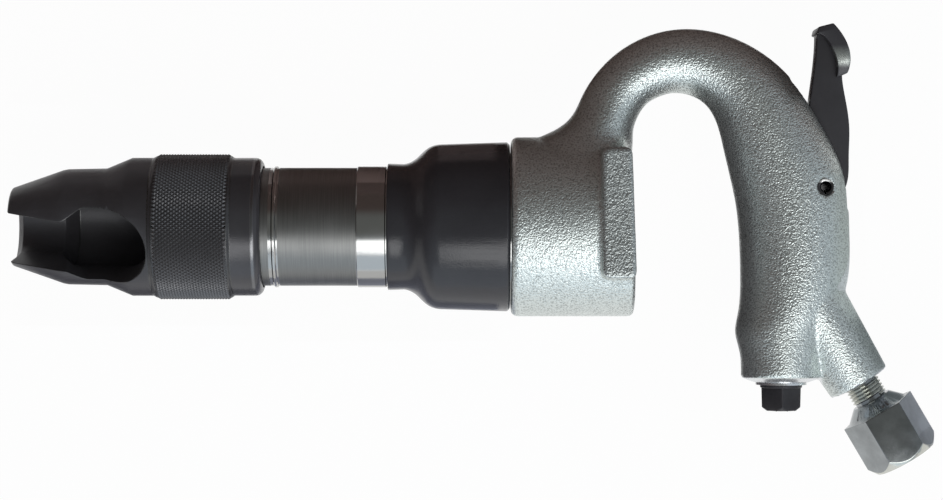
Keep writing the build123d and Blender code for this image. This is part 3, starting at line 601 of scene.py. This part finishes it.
# finishes that vary only with handling; the tone follows the smudges
plainLooks = {
    "machined_face": {
        "name": "machinedFace", "metallic": 0.95, "scale": 160.0,
        "dark": (0.62, 0.64, 0.65, 1), "light": (0.80, 0.82, 0.83, 1), "rough": ("Speck", 0.24, 0.34),
    },
    "worn_edge": {
        "name": "wornEdge", "metallic": 0.8, "scale": 110.0,
        "dark": (0.03, 0.029, 0.03, 1), "light": (0.13, 0.13, 0.127, 1), "rough": ("Speck", 0.26, 0.4),
    },
    "knurled_steel": {
        "name": "knurledSteel", "metallic": 0.55, "scale": 60.0,
        "dark": (0.105, 0.103, 0.106, 1), "light": (0.15, 0.147, 0.15, 1), "rough": ("Speck", 0.22, 0.30),
    },
    "black_moulding": {
        "name": "blackMoulding", "metallic": 0.0, "specular": 0.4, "scale": 45.0,
        "dark": (0.028, 0.027, 0.0305, 1), "light": (0.040, 0.039, 0.0435, 1),
        "rough": ("Smudge", 0.16, 0.26), "bump": (0.05 * mm, 0.3),
    },
    "rubber": {
        "name": "sealRubber", "metallic": 0.0, "scale": 120.0,
        "dark": (0.010, 0.010, 0.010, 1), "light": (0.026, 0.025, 0.024, 1),
        "rough": ("Speck", 0.55, 0.7), "bump": (0.04 * mm, 0.5),
    },
}


def plainMaterial(look, handling):
    material, tree, shader = startMaterial(look["name"], Metallic=look["metallic"])
    if "specular" in look:
        shader.inputs["Specular IOR Level"].default_value = look["specular"]
    used = placeGroup(tree, handling, Scale=look["scale"])
    effect, low, high = look["rough"]
    colour = mixColour(tree, used["Smudge"], look["dark"], look["light"])
    coat(tree, shader, colour, rangeNode(tree, used[effect], 0, 1, low, high))
    if "bump" in look:
        addBump(tree, shader, used["Speck"], *look["bump"])
    return material


# turned metals, with fine lines around the barrel axis
turnedLooks = {
    "bright_steel": {"dark": (0.55, 0.55, 0.54, 1), "light": (0.72, 0.72, 0.71, 1), "rough": (0.20, 0.32)},
    "spring_steel": {"dark": (0.10, 0.098, 0.095, 1), "light": (0.20, 0.195, 0.19, 1), "rough": (0.26, 0.38)},
    "brass": {"dark": (0.58, 0.40, 0.15, 1), "light": (0.76, 0.58, 0.28, 1), "rough": (0.22, 0.36)},
    "soft_aluminium": {"dark": (0.70, 0.71, 0.72, 1), "light": (0.83, 0.84, 0.85, 1), "rough": (0.22, 0.34)},
    "zinc_plate": {"dark": (0.212, 0.223, 0.226, 1), "light": (0.395, 0.418, 0.427, 1), "rough": (0.13, 0.24)},
    # bright zinc for the threads; on the hexagon's chamfer faces it is a painted highlight
    "zinc_bright": {"dark": (0.46, 0.465, 0.42, 1), "light": (0.66, 0.67, 0.63, 1), "rough": (0.14, 0.22)},
    "ring_steel": {"dark": (0.36, 0.355, 0.34, 1), "light": (0.46, 0.455, 0.44, 1), "rough": (0.14, 0.20)},
}
turnedLines = {"pitch": 7000.0, "depth": 0.01 * mm, "strength": 0.4, "handlingScale": 90.0}


def turnedMetalMaterial(name, look, lathe, handling):
    material, tree, shader = startMaterial(name, Metallic=1.0)
    lines = placeGroup(tree, lathe, Pitch=turnedLines["pitch"])
    used = placeGroup(tree, handling, Scale=turnedLines["handlingScale"])
    colour = mixColour(tree, used["Smudge"], look["dark"], look["light"])
    coat(tree, shader, colour, rangeNode(tree, used["Smudge"], 0, 1, *look["rough"]))
    addBump(tree, shader, lines["Height"], turnedLines["depth"], turnedLines["strength"])
    return material


def makeMaterials():
    grain = castGrainGroup()
    lathe = latheLinesGroup()
    handling = handlingGroup()
    made = {
        "silver_casting": silverCastingMaterial(grain),
        "black_steel": blackenedSteelMaterial(
            "blackenedSteel", handling, (0.026, 0.0245, 0.027, 1), (0.040, 0.038, 0.042, 1)
        ),
        "retainer_steel": blackenedSteelMaterial(
            "retainerSteel", handling, (0.044, 0.042, 0.045, 1), (0.066, 0.063, 0.068, 1), True
        ),
        "lever_steel": leverSteelMaterial(handling),
        "pin_steel": pinSteelMaterial(handling),
        "ground_steel": groundSteelMaterial(lathe, handling),
    }
    for name, look in plainLooks.items():
        made[name] = plainMaterial(look, handling)
    for name, look in turnedLooks.items():
        made[name] = turnedMetalMaterial(name, look, lathe, handling)
    made["valve_rubber"] = made["rubber"]
    print("materials made:", len(made))
    return made


def finishNodes(materials):
    slots = {row["node"]: row["material_slot"] for row in frame["record"]["subparts"]}
    special = {"retainer_stop_ring": "ring_steel"}
    for name, node in nodes.items():
        node.data.materials.clear()
        node.data.materials.append(materials[special.get(name, slots[name])])
    print("frame nodes finished:", len(nodes))
    return slots


# new pieces
nodeWeld = 0.002 * mm  # corners of a node's loose triangles closer than this are one
seamWeld = 0.01 * mm


def keepPiece(name, shape, material, body, smoothAngle=40.0):
    mesh = bpy.data.meshes.new(name)
    bmesh.ops.recalc_face_normals(shape, faces=shape.faces)
    shape.to_mesh(mesh)
    shape.free()
    mesh.materials.append(material)
    mesh.polygons.foreach_set("use_smooth", [True] * len(mesh.polygons))
    mesh.set_sharp_from_angle(angle=math.radians(smoothAngle))
    piece = bpy.data.objects.new(name, mesh)
    scene.collection.objects.link(piece)
    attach(piece, body)
    print("piece", name, len(mesh.polygons), "faces")
    return piece


def nodeShape(name):
    shape = bmesh.new()
    shape.from_mesh(nodes[name].data)
    bmesh.ops.remove_doubles(shape, verts=shape.verts, dist=nodeWeld)
    return shape


inletMount = next(m for m in frame["record"]["mounts"] if m["name"] == "air_inlet")
inletWay = Vector(inletMount["axis"])

# diamond knurl on the retainer's grip band, which is turned down under it
knurl = {
    "start": -0.4 * mm,
    "end": 26.9 * mm,
    "root": 26.6 * mm,
    "height": 0.62 * mm,
    "pitchAround": 1.5 * mm,
    "pitchAlong": 2.05 * mm,
    "smoothAngle": 20.0,
}


def knurlBand(materials):
    length = knurl["end"] - knurl["start"]
    columns = 2 * round(2 * math.pi * knurl["root"] / knurl["pitchAround"])
    rows = 2 * round(length / knurl["pitchAlong"])
    shape = bmesh.new()
    bmesh.ops.create_grid(shape, x_segments=columns, y_segments=rows, size=1)
    valleys = []
    for vert in shape.verts:
        column = round((vert.co.x + 1) / 2 * columns)
        row = round((vert.co.y + 1) / 2 * rows)
        peak = (column + row) % 2 == 0 and 0 < row < rows
        if (column + row) % 2:
            valleys.append(vert)
        turn = 2 * math.pi * column / columns
        radius = knurl["root"] + (knurl["height"] if peak else 0)
        along = knurl["start"] + length * row / rows
        vert.co = (along, radius * math.cos(turn), radius * math.sin(turn))
    bmesh.ops.connect_verts(shape, verts=valleys)
    bmesh.ops.remove_doubles(shape, verts=shape.verts, dist=seamWeld)
    rims = [e for e in shape.edges if e.is_boundary]
    bmesh.ops.bridge_loops(shape, edges=rims)
    steel = materials["knurled_steel"]
    keepPiece("retainerKnurl", shape, steel, "retainer", knurl["smoothAngle"])


# these pieces keep their shape, with the edges folded past an angle broken by a small round
edgeBreaks = {
    "retainer": {
        "name": "retainerBody", "body": "retainer", "width": 0.35 * mm, "angle": 28, "hollows": True,
        "turnedTo": knurl["root"], "finish": "retainer_steel", "second": "worn_edge", "wornFrom": 14.5 * mm,
    },
    "throttle_lever": {
        "name": "leverForging", "body": "lever", "width": 0.45 * mm, "angle": 30, "finish": "lever_steel",
    },
    "throttle_plug": {"name": "plugForging", "body": "tool", "width": 0.35 * mm, "angle": 24},
    "inlet_bushing": {
        "name": "inletHexagon", "body": "tool", "width": 0.22 * mm, "angle": 14,
        "second": "zinc_bright", "chamfer": (0.25, 0.95),  # how far its faces look along the inlet
    },
    "exhaust_deflector": {"name": "deflectorBell", "body": "deflector", "width": 0.4 * mm, "angle": 28},
    "lever_pin": {
        "name": "springPin", "body": "tool", "width": 0.75 * mm, "finish": "pin_steel",
        "bore": 2.3 * mm,  # only the rims of the bore are rounded
    },
}
edgeRound = {
    "flatAngle": 0.4,  # faces folded less than this are joined first
    "segments": 3,
    "smoothAngle": 50.0,
}


def turnDown(shape, root):
    for vert in shape.verts:
        radius = math.hypot(vert.co.y, vert.co.z)
        if radius > root:
            vert.co.y *= root / radius
            vert.co.z *= root / radius


def boreRims(shape, node, bore):
    low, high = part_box(node)
    middle = (low + high) / 2
    half = (high.z - low.z) / 2

    def onRim(vert):
        aside = math.hypot(vert.co.x - middle.x, vert.co.y - middle.y)
        return aside < bore and abs(abs(vert.co.z - middle.z) - half) < seamWeld

    return [edge for edge in shape.edges if all(onRim(vert) for vert in edge.verts)]


def sharpEdges(shape, look):
    limit = math.radians(look["angle"])
    folded = [e for e in shape.edges if e.is_manifold and e.calc_face_angle() > limit]
    return [e for e in folded if "hollows" in look or e.is_convex]


def breakEdges(slots, materials):
    for node, look in edgeBreaks.items():
        shape = nodeShape(node)
        bmesh.ops.dissolve_limit(
            shape, angle_limit=math.radians(edgeRound["flatAngle"]), verts=shape.verts, edges=shape.edges,
            delimit={"NORMAL"},
        )
        if "turnedTo" in look:
            turnDown(shape, look["turnedTo"])
        edges = boreRims(shape, node, look["bore"]) if "bore" in look else sharpEdges(shape, look)
        made = bmesh.ops.bevel(
            shape, geom=edges, offset=look["width"], offset_type="OFFSET", segments=edgeRound["segments"],
            profile=0.5, affect="EDGES", clamp_overlap=False, material=-1,
        )
        if "wornFrom" in look:
            for face in made["faces"]:
                middle = face.calc_center_median()
                face.material_index = int(math.hypot(middle.y, middle.z) > look["wornFrom"])
        # the hexagon's chamfer faces take the bright zinc: a painted highlight
        if "chamfer" in look:
            least, most = look["chamfer"]
            for face in shape.faces:
                face.material_index = int(least < face.normal.dot(inletWay) < most)
        main = materials[look.get("finish", slots[node])]
        piece = keepPiece(look["name"], shape, main, look["body"], edgeRound["smoothAngle"])
        if "second" in look:
            piece.data.materials.append(materials[look["second"]])
        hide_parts(node)


# the handle is cast: its creases are filled and its edges worn round
casting = {
    "voxel": 0.78 * mm,
    "softRounds": 4,
    "softShare": 0.5,
    "keepShare": 0.55,
    "rootLow": (165.0 * mm, 29.0 * mm),
    "rootHigh": (187.0 * mm, 38.0 * mm),
    "rootRounds": 40,
    "footHeight": -54.0 * mm,
    "footReach": 15.4 * mm,
    "footFacing": 0.3,
    "inletAside": 15.0 * mm,  # the inlet boss starts this far from the plug's axis
    "inletFacing": 0.5,
    "smoothAngle": 60.0,
}


def softenCasting(shape):
    mesh = bpy.data.meshes.new("roughHandle")
    shape.to_mesh(mesh)
    shape.free()
    rough = bpy.data.objects.new("roughHandle", mesh)
    scene.collection.objects.link(rough)
    skin = rough.modifiers.new("skin", "REMESH")
    skin.mode = "VOXEL"
    skin.voxel_size = casting["voxel"]
    soft = rough.modifiers.new("soft", "SMOOTH")
    soft.factor = casting["softShare"]
    soft.iterations = casting["softRounds"]
    thin = rough.modifiers.new("thin", "DECIMATE")
    thin.ratio = casting["keepShare"]
    ready = rough.evaluated_get(bpy.context.evaluated_depsgraph_get())
    shape = bmesh.new()
    shape.from_mesh(ready.to_mesh())
    bpy.data.objects.remove(rough)
    bpy.data.meshes.remove(mesh)
    return shape


def dressRoot(shape):
    left, bottom = casting["rootLow"]
    right, top = casting["rootHigh"]
    root = [vert for vert in shape.verts if left < vert.co.x < right and bottom < vert.co.y < top]
    for _ in range(casting["rootRounds"]):
        bmesh.ops.smooth_vert(
            shape, verts=root, factor=casting["softShare"], use_axis_x=True, use_axis_y=True, use_axis_z=True
        )


def castHandle(materials):
    shape = softenCasting(nodeShape("handle"))
    # the corner where the pad meets the root of the gooseneck is dressed smooth
    dressRoot(shape)
    # the foot above the plug and the end of the inlet boss are machined bright
    low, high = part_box("plug_washer")
    axis = (low + high) / 2
    for face in shape.faces:
        middle = face.calc_center_median()
        near = math.hypot(middle.x - axis.x, middle.z) < casting["footReach"]
        onFoot = near and middle.y < casting["footHeight"] and face.normal.y < -casting["footFacing"]
        beside = middle.x > axis.x + casting["inletAside"]
        onInlet = beside and face.normal.dot(inletWay) > casting["inletFacing"]
        face.material_index = int(onFoot or onInlet)
    silver = materials["silver_casting"]
    piece = keepPiece("handleCasting", shape, silver, "tool", casting["smoothAngle"])
    piece.data.materials.append(materials["machined_face"])
    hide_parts("handle")


# helical threads on the inlet bushing, in mm, counted from the face of the handle's inlet boss
threads = {
    "inletMaleThread": {"root": 5.8, "crest": 6.7, "pitch": 1.34, "from": 0.6, "turns": 4.9},
    "inletFemaleThread": {"root": 7.6, "crest": 6.9, "pitch": 1.34, "from": 20.6, "turns": 9.0},
}
threadCut = {
    "faceBack": 26.35 * mm,  # from the inlet mount
    "crestShare": 0.2,
    "stepsPerTurn": 48,
    "smoothAngle": 30.0,
}


def cutThreads(materials):
    mouth = Vector(inletMount["pos_m"]) - inletWay * threadCut["faceBack"]
    side = Vector((0, 0, 1))
    for name, look in threads.items():
        half = look["pitch"] / 2
        flat = half * threadCut["crestShare"]
        profile = ((look["root"], -half), (look["crest"], -flat), (look["crest"], flat), (look["root"], half))
        shape = bmesh.new()
        ring = [shape.verts.new(mouth + side * r * mm + inletWay * (look["from"] + a) * mm) for r, a in profile]
        start = shape.faces.new(ring)
        bmesh.ops.spin(
            shape, geom=[start] + list(start.edges) + ring, cent=mouth, axis=inletWay,
            dvec=inletWay * look["pitch"] * mm / threadCut["stepsPerTurn"],
            angle=2 * math.pi * look["turns"], steps=round(look["turns"] * threadCut["stepsPerTurn"]),
            use_merge=False, use_duplicate=False,
        )
        keepPiece(name, shape, materials["zinc_bright"], "tool", threadCut["smoothAngle"])


# the throttle spring is kept as a piece with a mesh of its own
def coilSpring(materials):
    low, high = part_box("throttle_spring")
    shape = nodeShape("throttle_spring")
    piece = keepPiece("throttleCoil", shape, materials["spring_steel"], "tool")
    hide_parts("throttle_spring")
    foot = (low + high) / 2
    foot.y = low.y
    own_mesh(piece)


placeCamera()
lightRoom()
hangLamps()
layFloor()
standFlags()
materials = makeMaterials()
slots = finishNodes(materials)
breakEdges(slots, materials)
castHandle(materials)
knurlBand(materials)
coilSpring(materials)
cutThreads(materials)
